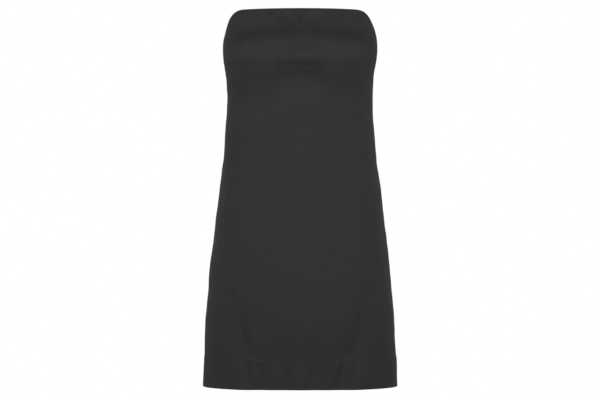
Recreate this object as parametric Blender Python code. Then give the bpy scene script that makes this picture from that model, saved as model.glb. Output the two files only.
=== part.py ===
"""Strapless A-line dress, held in the hollow form that it has when worn.

Metres, +Z up, the wearer's front towards -Y and their left towards +X. The origin is on the
axis of the dress at underarm height, where the band round the chest holds the dress up.

The dress is a tube of cloth. A table of sections gives its width and depth at each height,
the bust and the folds are added to that, and every cut piece is a thin wall read from it.
Angles run round the tube in degrees, 0 at the centre front and 180 at the centre back.
"""

import math
from collections import namedtuple

import bmesh
import bpy
import numpy as np

# Lengths of the dress
FRONT_RISE = 0.0555
SKIRT_DROP = 0.6902
SIDE_DIP = 0.0004
HEM_DEPTH = 0.056
TOP_TURNING_DEPTH = 0.012
ZIP_LENGTH = 0.352

# Thicknesses and clearances
CLOTH = 0.0014
DOUBLED_CLOTH = 0.0026
TAPE = 0.0008
SEAM_GAP = 0.0003
TURNED_STEP = 0.0015
TOP_CLEARANCE = 0.0005

# Shape of the front top edge: level to the first angle, then down to the side seam
LEVEL_TO = 51.0
SIDE_SEAM = 90.0
NECK_LATENESS = 1.7

# Squareness of the sections, where 2 is an ellipse
SQUARENESS = 2.2

Section = namedtuple("Section", "height half_width front_depth back_depth")
SECTIONS = (
    Section(0.056, 0.1470, 0.1115, 0.0950),
    Section(0.000, 0.1540, 0.1092, 0.0985),
    Section(-0.020, 0.1545, 0.1054, 0.0990),
    Section(-0.040, 0.1526, 0.1032, 0.0985),
    Section(-0.065, 0.1487, 0.1024, 0.0960),
    Section(-0.100, 0.1463, 0.1022, 0.0915),
    Section(-0.155, 0.1471, 0.1062, 0.0900),
    Section(-0.210, 0.1514, 0.1115, 0.1010),
    Section(-0.325, 0.1647, 0.1232, 0.1310),
    Section(-0.470, 0.1812, 0.1350, 0.1430),
    Section(-0.545, 0.1880, 0.1390, 0.1465),
    Section(-0.692, 0.1952, 0.1340, 0.1500),
)

# The bust: two rounded mounds that push the front cloth forward
BUST_APART = 0.084
BUST_HEIGHT = -0.046
BUST_PUSH = 0.0065
BUST_HALF_WIDTH = 0.052
BUST_HALF_RISE = 0.0155
BUST_HALF_FALL = 0.034

# Folds that run round the dress: height at the centre line, how far they drop towards the
# sides, the angle that they reach on each side, their half height, and how far they stand out
LevelFold = namedtuple("LevelFold", "height drop reach half_height stands_out")
LEVEL_FOLDS = (
    LevelFold(0.0012, 0.016, 76.0, 0.0130, -0.0064),
    LevelFold(-0.0290, 0.000, 19.0, 0.0120, -0.0020),
    LevelFold(-0.0780, 0.0065, 27.0, 0.0205, -0.0070),
    LevelFold(-0.6920, 0.000, 46.0, 0.0520, -0.0040),
)

# Folds that run down the skirt: angle and height of the upper end, angle at the hem, the
# depth over which they open, their half width in degrees, and how far they stand out
Flute = namedtuple("Flute", "angle top hem_angle opens_over half_width stands_out")
FRONT_FLUTES = (
    Flute(52.0, -0.490, 35.0, 0.120, 5.5, -0.0060),
    Flute(43.0, -0.612, 41.0, 0.070, 6.5, 0.0075),
    Flute(27.0, -0.540, 25.0, 0.110, 5.0, 0.0010),
    Flute(15.0, -0.530, 15.5, 0.110, 7.0, -0.0040),
)
BACK_FLUTES = (
    Flute(112.0, -0.430, 114.0, 0.170, 6.5, -0.0070),
    Flute(131.0, -0.450, 133.0, 0.170, 6.0, 0.0040),
    Flute(149.0, -0.410, 151.0, 0.190, 6.5, -0.0075),
    Flute(-110.0, -0.450, -109.0, 0.160, 6.0, -0.0065),
    Flute(-128.0, -0.470, -127.0, 0.160, 6.0, 0.0035),
    Flute(-147.0, -0.430, -144.0, 0.180, 7.0, -0.0080),
)

# Rows of the walls at the centre front, from the hem up: each band's top, how many rows it
# has, and how thick the cloth is from there up. The two turned-in edges are double.
RowBand = namedtuple("RowBand", "top rows thickness_above")
ROW_BANDS = (
    RowBand(HEM_DEPTH - SKIRT_DROP, 2, DOUBLED_CLOTH),
    RowBand(HEM_DEPTH - SKIRT_DROP + TURNED_STEP, 1, CLOTH),
    RowBand(-0.4500, 5, CLOTH),
    RowBand(-0.1700, 5, CLOTH),
    RowBand(-0.0850, 5, CLOTH),
    RowBand(FRONT_RISE - TOP_TURNING_DEPTH - TURNED_STEP, 11, CLOTH),
    RowBand(FRONT_RISE - TOP_TURNING_DEPTH, 1, DOUBLED_CLOTH),
    RowBand(FRONT_RISE, 1, DOUBLED_CLOTH),
)
FRONT_COLUMNS = 54
BACK_COLUMNS = 26

# The zip in the centre back seam
TAPE_COLUMNS = 1.1
NOTCH_HALF_WIDTH = 0.0026
NOTCH_DEPTH = 0.0110
SLIDER_WIDTH = 0.0080
SLIDER_HEIGHT = 0.0100
SLIDER_DEPTH = 0.0026
NECK_WIDTH = 0.0014
PLATE_WIDTH = 0.0060
PLATE_HEIGHT = 0.0068
PLATE_DEPTH = 0.0008
CHEEK_RADIUS = 0.0014
CHEEK_WIDTH = 0.0008
BAR_RADIUS = 0.00045
EYE_BORE = 0.00060
EYE_RADIUS = 0.00110
EYE_WIDTH = 0.0022
BAR_STAND_OFF = 0.0015
TAB_LENGTH = 0.0240
TAB_WIDTH = 0.0058
TAB_SHANK_WIDTH = 0.0022
TAB_SHANK_LENGTH = 0.0030
TAB_THICKNESS = 0.0010

# Colours, as linear red, green and blue
CHARCOAL = (0.034, 0.034, 0.035)
DARK_TAPE = (0.022, 0.022, 0.023)
BLACK_ENAMEL = (0.020, 0.020, 0.021)


def smooth_step(share):
    share = np.clip(share, 0.0, 1.0)
    return share * share * (3.0 - 2.0 * share)


def bell(distance, half_size):
    return np.exp(-0.5 * (distance / half_size) ** 2)


def section_at(height):
    """Half width, front depth and back depth at each height, by a smooth curve through the table."""
    rows = np.array(sorted(SECTIONS))
    known, values = rows[:, 0], rows[:, 1:]
    slopes = np.gradient(values, known, axis=0)
    height = np.clip(np.asarray(height, float), known[0], known[-1])
    low = np.clip(np.searchsorted(known, height, side="right") - 1, 0, len(known) - 2)
    gap = (known[low + 1] - known[low])[..., None]
    t = (height - known[low])[..., None] / gap
    curve = (
        (2 * t**3 - 3 * t**2 + 1) * values[low]
        + (t**3 - 2 * t**2 + t) * gap * slopes[low]
        + (3 * t**2 - 2 * t**3) * values[low + 1]
        + (t**3 - t**2) * gap * slopes[low + 1]
    )
    return curve[..., 0], curve[..., 1], curve[..., 2]


def neckline(angle):
    """Height of the top edge: level across the front, down to the underarm, level round the back."""
    share = np.clip((np.abs(angle) - LEVEL_TO) / (SIDE_SEAM - LEVEL_TO), 0.0, 1.0)
    return FRONT_RISE * (1.0 - smooth_step(share**NECK_LATENESS))


def hem_height(angle):
    """Height of the hem, which dips a little towards the side seams."""
    return -SKIRT_DROP - SIDE_DIP * np.sin(np.radians(angle)) ** 2


def bust_push(across, angle, height):
    """How far the bust pushes the cloth forward, fading out before the side seams."""
    in_front = smooth_step(np.cos(np.radians(angle)) / 0.5)
    mounds = bell(across - BUST_APART, BUST_HALF_WIDTH) + bell(across + BUST_APART, BUST_HALF_WIDTH)
    half_height = np.where(height > BUST_HEIGHT, BUST_HALF_RISE, BUST_HALF_FALL)
    return BUST_PUSH * in_front * mounds * bell(height - BUST_HEIGHT, half_height)


def level_folds(angle, height):
    total = 0.0
    for fold in LEVEL_FOLDS:
        centre = fold.height - fold.drop * (np.abs(angle) / fold.reach) ** 2
        fades = 1.0 - smooth_step((np.abs(angle) - 0.75 * fold.reach) / (0.4 * fold.reach))
        total = total + fold.stands_out * fades * bell(height - centre, fold.half_height)
    return total


def flutes(angle, height):
    other_side = [fold._replace(angle=-fold.angle, hem_angle=-fold.hem_angle) for fold in FRONT_FLUTES]
    total = 0.0
    for fold in (*FRONT_FLUTES, *other_side, *BACK_FLUTES):
        down = np.clip((fold.top - height) / (fold.top + SKIRT_DROP), 0.0, 1.0)
        centre = fold.angle + (fold.hem_angle - fold.angle) * down
        opened = smooth_step((fold.top - height) / fold.opens_over)
        total = total + fold.stands_out * opened * bell(angle - centre, fold.half_width)
    return total


def outer_point(angle, height):
    """Points on the outside of the cloth, as an array with a last axis of x, y, z."""
    half_width, front, back = section_at(height)
    turn = np.radians(angle)
    depth = np.where(np.cos(turn) > 0.0, front, back)
    reach = (np.abs(np.sin(turn)) / half_width) ** SQUARENESS
    reach = reach + (np.abs(np.cos(turn)) / depth) ** SQUARENESS
    radius = reach ** (-1.0 / SQUARENESS) + level_folds(angle, height) + flutes(angle, height)
    across = radius * np.sin(turn)
    along = -radius * np.cos(turn) - bust_push(across, angle, height)
    return np.stack([across, along, np.broadcast_to(height, across.shape)], axis=-1)


def outward(angle, height):
    """Unit normals of the outside of the cloth."""
    turn, rise = 0.2, 0.0005
    round_it = outer_point(angle + turn, height) - outer_point(angle - turn, height)
    up_it = outer_point(angle, height + rise) - outer_point(angle, height - rise)
    normal = np.cross(round_it, up_it)
    return normal / np.linalg.norm(normal, axis=-1, keepdims=True)


def rows_and_thicknesses():
    """Heights of a panel's rows at the centre front, from the hem up, and the wall at each."""
    low = -SKIRT_DROP
    heights, thicknesses = [low], [DOUBLED_CLOTH]
    for band in ROW_BANDS:
        step = (band.top - low) / band.rows
        heights += [low + step * (row + 1) for row in range(band.rows)]
        thicknesses += [thicknesses[-1]] * (band.rows - 1) + [band.thickness_above]
        low = band.top
    return np.array(heights), np.array(thicknesses)


def panel_rows(angle):
    """Heights of a panel's rows at an angle, from the hem to the top edge."""
    share = (rows_and_thicknesses()[0] + SKIRT_DROP) / (FRONT_RISE + SKIRT_DROP)
    hem = hem_height(angle)
    return hem + share * (neckline(angle) - hem)


def side_edge(height, half_gap, front):
    """Angle of a cut edge that stands half_gap from the side seam, on the front or the back."""
    _, front_depth, back_depth = section_at(height)
    depth = front_depth if front else back_depth
    away = np.degrees(half_gap / depth)
    return SIDE_SEAM - away if front else SIDE_SEAM + away


def back_edge(height, half_gap):
    """Angle of a cut edge at the centre back, where the seam opens at the top round the slider."""
    _, _, depth = section_at(height)
    opened = np.clip(1.0 + np.asarray(height) / NOTCH_DEPTH, 0.0, 1.0)
    return 180.0 - np.degrees((half_gap + NOTCH_HALF_WIDTH * opened) / depth)


def material(name, colour, roughness, metallic=0.0):
    made = bpy.data.materials.get(name) or bpy.data.materials.new(name)
    made.use_nodes = True
    shader = made.node_tree.nodes["Principled BSDF"]
    shader.inputs["Base Color"].default_value = (*colour, 1.0)
    shader.inputs["Roughness"].default_value = roughness
    shader.inputs["Metallic"].default_value = metallic
    return made


def new_object(name, mesh, finish, parent):
    made = bpy.data.objects.new(name, mesh)
    bpy.context.scene.collection.objects.link(made)
    made.data.materials.append(finish)
    made.parent = parent
    return made


def smoothed(mesh):
    mesh.shade_smooth()
    mesh.set_sharp_from_angle(angle=math.radians(40.0))


Panel = namedtuple("Panel", "surface normal thickness heights")


def panel_grid(first_edge, last_edge, columns):
    """Points, normals and wall thicknesses of a cut piece of cloth between two upright edges.

    An edge gives its angle at each height."""
    surface, normal, heights = [], [], []
    ends = first_edge(np.zeros(1))[0], last_edge(np.zeros(1))[0]
    for share in np.linspace(0.0, 1.0, columns + 1):
        height = panel_rows(ends[0] + (ends[1] - ends[0]) * share)
        angle = first_edge(height) * (1.0 - share) + last_edge(height) * share
        surface.append(outer_point(angle, height))
        normal.append(outward(angle, height))
        heights.append(height)
    thickness = np.broadcast_to(rows_and_thicknesses()[1], np.shape(heights))
    return Panel(np.array(surface), np.array(normal), thickness, np.array(heights))


def sampled(grid, columns, rows):
    """Values of a grid at fractional columns and rows, by straight lines between its points."""
    for axis, places in ((0, columns), (1, rows)):
        places = np.asarray(places, float)
        low = np.clip(places.astype(int), 0, grid.shape[axis] - 2)
        share = places - low
        share = share.reshape([-1 if k == axis else 1 for k in range(grid.ndim)])
        grid = np.take(grid, low, axis) * (1.0 - share) + np.take(grid, low + 1, axis) * share
    return grid


def thin_wall(name, outer, inner, finish, parent):
    """A closed wall between two grids of points that run alike, split into like triangles."""
    columns, rows = outer.shape[:2]
    mesh = bmesh.new()
    near, far = [
        [[mesh.verts.new(point) for point in column] for column in layer]
        for layer in (outer, inner)
    ]

    def quad(a, b, c, d):
        mesh.faces.new((a, b, c))
        mesh.faces.new((a, c, d))

    for i in range(columns - 1):
        for j in range(rows - 1):
            quad(near[i][j], near[i + 1][j], near[i + 1][j + 1], near[i][j + 1])
            quad(far[i + 1][j + 1], far[i + 1][j], far[i][j], far[i][j + 1])
        quad(near[i][0], far[i][0], far[i + 1][0], near[i + 1][0])
        quad(near[i + 1][-1], far[i + 1][-1], far[i][-1], near[i][-1])
    for j in range(rows - 1):
        quad(near[0][j + 1], far[0][j + 1], far[0][j], near[0][j])
        quad(near[-1][j], far[-1][j], far[-1][j + 1], near[-1][j + 1])
    data = bpy.data.meshes.new(name)
    mesh.to_mesh(data)
    mesh.free()
    smoothed(data)
    return new_object(name, data, finish, parent)


def cloth_panel(name, panel, finish, parent):
    inner = panel.surface - panel.normal * panel.thickness[..., None]
    return thin_wall(name, panel.surface, inner, finish, parent)


def front_grid():
    def right_seam(height):
        return -side_edge(height, SEAM_GAP / 2, True)

    def left_seam(height):
        return side_edge(height, SEAM_GAP / 2, True)

    return panel_grid(right_seam, left_seam, FRONT_COLUMNS)


def back_grid(side):
    """Half of the back, on the wearer's left (side 1) or right (side -1)."""

    def at_side(height):
        return side * side_edge(height, SEAM_GAP / 2, False)

    def at_back(height):
        return side * back_edge(height, SEAM_GAP / 2)

    edges = (at_side, at_back) if side > 0 else (at_back, at_side)
    return panel_grid(*edges, BACK_COLUMNS)


def cloth_pieces(parent):
    finish = material("charcoal_cloth", CHARCOAL, 0.75)
    cloth_panel("front_panel", front_grid(), finish, parent)
    cloth_panel("back_panel_left", back_grid(1), finish, parent)
    cloth_panel("back_panel_right", back_grid(-1), finish, parent)


def zip_tape(name, side, parent):
    """Half of the zip's tape, laid on the inside of the back beside its centre edge."""
    finish = material("zip_tape", DARK_TAPE, 0.85)
    panel = back_grid(side)
    edge = BACK_COLUMNS if side > 0 else 0
    outer_edge = edge - side * TAPE_COLUMNS
    columns = np.linspace(*sorted((edge, outer_edge)), 3)
    rows = np.arange(panel.heights.shape[1])
    ends = np.interp((-ZIP_LENGTH, -TOP_CLEARANCE), panel.heights[edge], rows)
    inside = rows[(rows > ends[0]) & (rows < ends[1])]
    rows = np.concatenate([ends[:1], inside, ends[1:]])
    surface = sampled(panel.surface, columns, rows)
    normal = sampled(panel.normal, columns, rows)
    lies_at = sampled(panel.thickness, columns, rows)[..., None] + SEAM_GAP
    thin_wall(name, surface - normal * lies_at, surface - normal * (lies_at + TAPE), finish, parent)


def helper(made):
    made.hide_render = True
    made.display_type = "WIRE"
    return made


def block(name, low, high, finish, parent):
    """A box between two corners, for joining to others."""
    mesh = bmesh.new()
    bmesh.ops.create_cube(mesh, size=1.0)
    size = [b - a for a, b in zip(low, high)]
    centre = [(a + b) / 2 for a, b in zip(low, high)]
    for vert in mesh.verts:
        vert.co = [c + s * v for c, s, v in zip(centre, size, vert.co)]
    data = bpy.data.meshes.new(name)
    mesh.to_mesh(data)
    mesh.free()
    return new_object(name, data, finish, parent)


def crosswise_rod(name, centre, radius, length, sides, finish, parent):
    """A rod along X."""
    mesh = bmesh.new()
    bmesh.ops.create_cone(
        mesh, cap_ends=True, segments=sides, radius1=radius, radius2=radius, depth=length
    )
    for vert in mesh.verts:
        x, y, z = vert.co
        vert.co = (centre[0] + z, centre[1] + x, centre[2] + y)
    bmesh.ops.recalc_face_normals(mesh, faces=mesh.faces)
    data = bpy.data.meshes.new(name)
    mesh.to_mesh(data)
    mesh.free()
    return new_object(name, data, finish, parent)


def joined(base, others, operation="UNION"):
    for other in others:
        cut = base.modifiers.new(other.name, "BOOLEAN")
        cut.operation = operation
        cut.object = helper(other)
    return base


def back_surface(height):
    """Depth of the outside of the cloth at the centre back."""
    return float(outer_point(np.array(180.0), np.array(height))[1])


def bar_centre():
    """Middle of the bar that the pull tab turns on."""
    height = -PLATE_HEIGHT / 2
    plate = max(back_surface(0.0), back_surface(-PLATE_HEIGHT)) + SEAM_GAP
    return (0.0, plate + PLATE_DEPTH + BAR_STAND_OFF, height)


def zip_slider(parent):
    """Slider body inside the seam, its neck through the notch, and the lug for the tab outside."""
    finish = material("black_enamel", BLACK_ENAMEL, 0.35, 0.6)
    _, bar_depth, bar_height = bar_centre()
    plate_out = bar_depth - BAR_STAND_OFF
    plate_in = plate_out - PLATE_DEPTH
    body_out = min(back_surface(0.0), back_surface(-SLIDER_HEIGHT)) - DOUBLED_CLOTH - TAPE
    body_out -= 3 * SEAM_GAP
    top = -TOP_CLEARANCE
    slider = block(
        "zip_slider",
        (-SLIDER_WIDTH / 2, body_out - SLIDER_DEPTH, top - SLIDER_HEIGHT),
        (SLIDER_WIDTH / 2, body_out, top),
        finish,
        parent,
    )
    neck = block(
        "slider_neck",
        (-NECK_WIDTH / 2, body_out - SLIDER_DEPTH / 2, top - NOTCH_DEPTH * 0.40),
        (NECK_WIDTH / 2, plate_in + PLATE_DEPTH / 2, top - TOP_CLEARANCE),
        finish,
        parent,
    )
    plate = block(
        "slider_plate",
        (-PLATE_WIDTH / 2, plate_in, bar_height - PLATE_HEIGHT / 2),
        (PLATE_WIDTH / 2, plate_out, bar_height + PLATE_HEIGHT / 2),
        finish,
        parent,
    )
    cheek_at = EYE_WIDTH / 2 + SEAM_GAP + CHEEK_WIDTH / 2
    lug = []
    for word, side in (("left", 1), ("right", -1)):
        centre = (side * cheek_at, bar_depth, bar_height)
        cheek = crosswise_rod(f"cheek_{word}", centre, CHEEK_RADIUS, CHEEK_WIDTH, 20, finish, parent)
        foot = block(
            f"cheek_foot_{word}",
            (centre[0] - CHEEK_WIDTH / 2, plate_in + PLATE_DEPTH / 2, bar_height - CHEEK_RADIUS),
            (centre[0] + CHEEK_WIDTH / 2, bar_depth, bar_height + CHEEK_RADIUS),
            finish,
            parent,
        )
        lug += [cheek, foot]
    bar = crosswise_rod(
        "slider_bar", (0.0, bar_depth, bar_height), BAR_RADIUS, 2 * cheek_at, 12, finish, parent
    )
    return joined(slider, [neck, plate, *lug, bar])


def tab_outline():
    """Half widths of the teardrop tab down its length, from the bar."""
    points = [(0.0, TAB_SHANK_WIDTH / 2), (TAB_SHANK_LENGTH, TAB_SHANK_WIDTH / 2)]
    steps = 8
    low = TAB_LENGTH - TAB_WIDTH / 2
    for step in range(1, steps + 1):
        share = step / steps
        half = TAB_SHANK_WIDTH / 2 + (TAB_WIDTH - TAB_SHANK_WIDTH) / 2 * float(smooth_step(share))
        points.append((TAB_SHANK_LENGTH + (low - TAB_SHANK_LENGTH) * share, half))
    for step in range(1, steps):
        turn = math.pi / 2 * step / steps
        points.append((low + TAB_WIDTH / 2 * math.sin(turn), TAB_WIDTH / 2 * math.cos(turn)))
    return points


def zip_pull_tab(parent):
    """Teardrop tab with an eye round the slider's bar. Its origin is on the bar's axis."""
    finish = material("black_enamel", BLACK_ENAMEL, 0.35, 0.6)
    half = tab_outline()
    outline = [(x, -down) for down, x in half]
    outline += [(0.0, -TAB_LENGTH)]
    outline += [(-x, -down) for down, x in reversed(half)]
    mesh = bmesh.new()
    near = [mesh.verts.new((x, -TAB_THICKNESS / 2, z)) for x, z in outline]
    face = mesh.faces.new(near)
    grown = bmesh.ops.extrude_face_region(mesh, geom=[face])["geom"]
    for vert in grown:
        if isinstance(vert, bmesh.types.BMVert):
            vert.co.y += TAB_THICKNESS
    bmesh.ops.recalc_face_normals(mesh, faces=mesh.faces)
    data = bpy.data.meshes.new("zip_pull_tab")
    mesh.to_mesh(data)
    mesh.free()
    tab = new_object("zip_pull_tab", data, finish, parent)
    barrel = crosswise_rod("tab_eye", (0.0, 0.0, 0.0), EYE_RADIUS, EYE_WIDTH, 20, finish, parent)
    bore = crosswise_rod("tab_bore", (0.0, 0.0, 0.0), EYE_BORE, 2 * EYE_WIDTH, 16, finish, parent)
    joined(tab, [barrel])
    joined(tab, [bore], "DIFFERENCE")
    return tab


def build():
    for old in list(bpy.data.objects):
        bpy.data.objects.remove(old, do_unlink=True)
    dress = bpy.data.objects.new("dress", None)
    bar = bpy.data.objects.new("pull_tab_axis", None)
    for empty in (dress, bar):
        bpy.context.scene.collection.objects.link(empty)
    bar.parent = dress
    bar.location = bar_centre()
    cloth_pieces(dress)
    zip_tape("zip_tape_left", 1, dress)
    zip_tape("zip_tape_right", -1, dress)
    zip_slider(dress)
    zip_pull_tab(bar)


build()
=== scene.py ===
import math
import bmesh
import bpy
import numpy as np
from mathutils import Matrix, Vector


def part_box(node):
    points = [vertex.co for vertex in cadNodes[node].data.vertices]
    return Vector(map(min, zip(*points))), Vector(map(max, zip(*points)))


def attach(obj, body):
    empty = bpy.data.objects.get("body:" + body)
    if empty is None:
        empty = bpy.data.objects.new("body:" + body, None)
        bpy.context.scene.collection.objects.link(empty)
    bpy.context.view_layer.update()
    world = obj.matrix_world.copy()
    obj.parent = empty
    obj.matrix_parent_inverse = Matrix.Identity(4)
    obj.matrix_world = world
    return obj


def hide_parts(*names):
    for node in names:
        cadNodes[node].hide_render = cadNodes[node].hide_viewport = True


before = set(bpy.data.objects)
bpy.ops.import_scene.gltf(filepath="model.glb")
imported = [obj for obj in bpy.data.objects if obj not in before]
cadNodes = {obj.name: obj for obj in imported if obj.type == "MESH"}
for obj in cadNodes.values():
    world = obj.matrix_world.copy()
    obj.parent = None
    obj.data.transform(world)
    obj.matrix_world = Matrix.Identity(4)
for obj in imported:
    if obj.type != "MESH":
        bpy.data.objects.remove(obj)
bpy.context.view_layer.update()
frontLow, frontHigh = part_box("front_panel")
print("frame loaded")


# The form of the dress

form = {
    "squareness": 2.2,                  # 2 would be an ellipse
    "frontRise": frontHigh.z,           # top edge at the centre front
    "hemDrop": -frontLow.z,             # hem at the side seams
    "sideDip": 0.0004,                  # the hem dips this much towards the side seams
    "levelTo": 51.0,                    # the top edge is level to here
    "neckLateness": 1.7,
    "sections": (                       # height, half width, front depth, back depth
        (0.056, 0.1470, 0.1115, 0.0950),
        (0.000, 0.1540, 0.1092, 0.0985),
        (-0.020, 0.1545, 0.1054, 0.0990),
        (-0.040, 0.1526, 0.1032, 0.0985),
        (-0.065, 0.1487, 0.1024, 0.0960),
        (-0.100, 0.1463, 0.1022, 0.0915),
        (-0.155, 0.1471, 0.1062, 0.0900),
        (-0.210, 0.1514, 0.1115, 0.1010),
        (-0.325, 0.1647, 0.1232, 0.1310),
        (-0.470, 0.1812, 0.1350, 0.1430),
        (-0.545, 0.1880, 0.1390, 0.1465),
        (-0.692, 0.1952, 0.1340, 0.1500),
    ),
}

bust = {"apart": 0.084, "height": -0.046, "push": 0.0065, "halfWidth": 0.052, "halfRise": 0.0155, "halfFall": 0.034}

# Folds round the dress: height at the centre, drop to the sides, reach in degrees, half height, stands out
levelFolds = (
    (0.0012, 0.016, 76.0, 0.0130, -0.0064),
    (-0.0290, 0.000, 19.0, 0.0120, -0.0020),
    (-0.0780, 0.0065, 27.0, 0.0205, -0.0070),
    (-0.6920, 0.000, 46.0, 0.0520, -0.0040),
)

# Flutes down the skirt: angle and height of the top, angle at the hem, opening depth, half width, stands out
frontFlutes = (
    (52.0, -0.490, 35.0, 0.120, 5.5, -0.0060),
    (43.0, -0.612, 41.0, 0.070, 6.5, 0.0075),
    (27.0, -0.540, 25.0, 0.110, 5.0, 0.0010),
    (15.0, -0.530, 15.5, 0.110, 7.0, -0.0040),
)
backFlutes = (
    (112.0, -0.430, 114.0, 0.170, 6.5, -0.0070),
    (131.0, -0.450, 133.0, 0.170, 6.0, 0.0040),
    (149.0, -0.410, 151.0, 0.190, 6.5, -0.0075),
    (-110.0, -0.450, -109.0, 0.160, 6.0, -0.0065),
    (-128.0, -0.470, -127.0, 0.160, 6.0, 0.0035),
    (-147.0, -0.430, -144.0, 0.180, 7.0, -0.0080),
)

# Small creases: angle and height of both ends, half width in metres, and how far they stand out.
# The pulls under the top edge run as shown; each side of the front mirrors the other with a little unevenness.
creases = (
    (-22.5, 0.0545, -33.0, 0.0260, 0.0042, -0.0024),
    (-9.0, 0.0545, -1.8, 0.0245, 0.0040, -0.0017),
    (9.5, 0.0545, 2.2, 0.0255, 0.0040, -0.0017),
    (22.5, 0.0545, 32.0, 0.0260, 0.0042, -0.0024),
    (-15.5, 0.0545, -14.5, 0.0310, 0.0040, 0.0018),
    (0.4, 0.0550, 0.2, 0.0400, 0.0036, 0.0014),
    (15.5, 0.0545, 16.0, 0.0310, 0.0040, 0.0018),
    (-46.0, 0.0500, -42.0, 0.0200, 0.0044, -0.0018),
    (-49.0, 0.0030, -64.0, -0.0120, 0.0050, -0.0020),
    (49.0, 0.0040, 63.0, -0.0100, 0.0050, -0.0020),
    (45.0, 0.0500, 41.5, 0.0210, 0.0044, -0.0022),
    (-66.5, -0.0960, -58.0, -0.1230, 0.0042, -0.0044),
    (65.5, -0.0970, 57.0, -0.1240, 0.0042, -0.0042),
    (-30.0, 0.0400, 30.0, 0.0395, 0.0080, 0.0016),
    (-15.0, -0.0300, 16.0, -0.0295, 0.0074, -0.0022),
    (-18.0, -0.0405, 18.0, -0.0400, 0.0140, 0.0024),
    (-19.0, -0.0765, 20.0, -0.0770, 0.0130, -0.0010),
    (-22.0, -0.0545, 20.0, -0.0550, 0.0050, -0.0017),
    (-21.0, -0.0730, 23.0, -0.0720, 0.0060, -0.0004),
    (-15.0, -0.0950, 17.0, -0.0945, 0.0019, -0.0007),
    (-21.5, -0.1020, 19.5, -0.1020, 0.0020, -0.0009),
    (-19.5, -0.1095, 21.5, -0.1090, 0.0020, -0.0009),
    (-16.0, -0.1160, 14.0, -0.1165, 0.0019, -0.0006),
    (-55.0, -0.1590, -32.0, -0.1630, 0.0055, 0.0011),
    (33.0, -0.1620, 54.0, -0.1590, 0.0055, 0.0011),
    (-50.0, -0.1840, -43.0, -0.1930, 0.0060, -0.0011),
    (42.0, -0.1930, 49.0, -0.1840, 0.0060, -0.0011),
    (-54.5, -0.4880, -50.0, -0.5260, 0.0050, -0.0030),
    (-47.5, -0.5520, -42.0, -0.6120, 0.0062, -0.0044),
    (47.0, -0.5460, 42.5, -0.6140, 0.0066, -0.0044),
    (54.5, -0.4920, 50.5, -0.5240, 0.0052, -0.0028),
    (-51.0, -0.5450, -47.5, -0.6000, 0.0050, 0.0020),
    (51.5, -0.5450, 48.0, -0.6000, 0.0050, 0.0018),
    (-1.0, -0.5300, 1.0, -0.6050, 0.0080, -0.0014),
    (-24.0, -0.6380, 25.0, -0.6390, 0.0230, -0.0036),
    (-80.0, -0.6420, -57.0, -0.6420, 0.0230, -0.0036),
    (57.0, -0.6420, 79.0, -0.6410, 0.0230, -0.0034),
    (-41.6, -0.6370, -40.6, -0.6800, 0.0034, -0.0028),
    (-37.6, -0.6340, -36.0, -0.6740, 0.0032, 0.0042),
    (-29.2, -0.6380, -25.0, -0.6780, 0.0032, 0.0034),
    (-26.6, -0.6400, -26.0, -0.6780, 0.0038, -0.0022),
    (-17.0, -0.6430, -17.5, -0.6800, 0.0050, 0.0014),
    (-10.4, -0.6440, -10.0, -0.6800, 0.0040, -0.0026),
    (3.0, -0.6440, 2.5, -0.6780, 0.0050, 0.0014),
    (12.0, -0.6430, 11.0, -0.6800, 0.0044, -0.0024),
    (30.4, -0.6380, 25.0, -0.6790, 0.0030, 0.0052),
    (27.2, -0.6420, 22.8, -0.6790, 0.0036, -0.0016),
    (39.2, -0.6350, 38.2, -0.6700, 0.0032, 0.0036),
    (42.8, -0.6370, 41.8, -0.6780, 0.0034, -0.0026),
    (100.0, -0.1620, 126.0, -0.1400, 0.0062, -0.0026),
    (104.0, -0.1890, 131.0, -0.1710, 0.0070, -0.0021),
    (112.0, -0.1220, 124.0, -0.1160, 0.0045, -0.0012),
    (-101.0, -0.1550, -125.0, -0.1390, 0.0060, -0.0024),
    (-103.0, -0.1810, -134.0, -0.1670, 0.0074, -0.0022),
    (148.0, -0.1360, 173.0, -0.1430, 0.0060, -0.0020),
    (156.0, -0.1640, 174.0, -0.1670, 0.0050, -0.0012),
    (-151.0, -0.1430, -174.0, -0.1390, 0.0060, -0.0019),
    (139.0, -0.0020, 146.5, -0.0300, 0.0042, -0.0021),
    (150.0, -0.0020, 148.0, -0.0280, 0.0040, 0.0014),
    (-137.0, -0.0020, -145.0, -0.0320, 0.0042, -0.0020),
    (162.0, -0.0020, 157.0, -0.0260, 0.0040, -0.0016),
    (-160.0, -0.0020, -156.0, -0.0280, 0.0042, -0.0017),
    (104.0, -0.0100, 98.5, -0.0680, 0.0048, -0.0026),
    (-104.0, -0.0100, -98.0, -0.0720, 0.0048, -0.0026),
    (112.0, -0.5500, 116.0, -0.6200, 0.0060, -0.0030),
    (146.0, -0.5300, 150.0, -0.6100, 0.0064, -0.0034),
    (-109.0, -0.5450, -112.0, -0.6150, 0.0060, -0.0030),
    (-148.0, -0.5350, -144.0, -0.6120, 0.0064, -0.0034),
    (120.0, -0.6370, 122.0, -0.6780, 0.0040, -0.0026),
    (126.0, -0.6380, 129.0, -0.6760, 0.0036, 0.0024),
    (140.0, -0.6380, 136.5, -0.6780, 0.0040, 0.0026),
    (151.0, -0.6380, 153.0, -0.6790, 0.0044, -0.0024),
    (164.0, -0.6380, 167.0, -0.6800, 0.0044, -0.0018),
    (-119.0, -0.6370, -121.5, -0.6760, 0.0040, -0.0026),
    (-138.0, -0.6380, -135.5, -0.6780, 0.0038, 0.0026),
    (-144.0, -0.6380, -146.0, -0.6790, 0.0044, -0.0026),
    (-160.0, -0.6380, -164.0, -0.6800, 0.0044, -0.0018),
)

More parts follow.
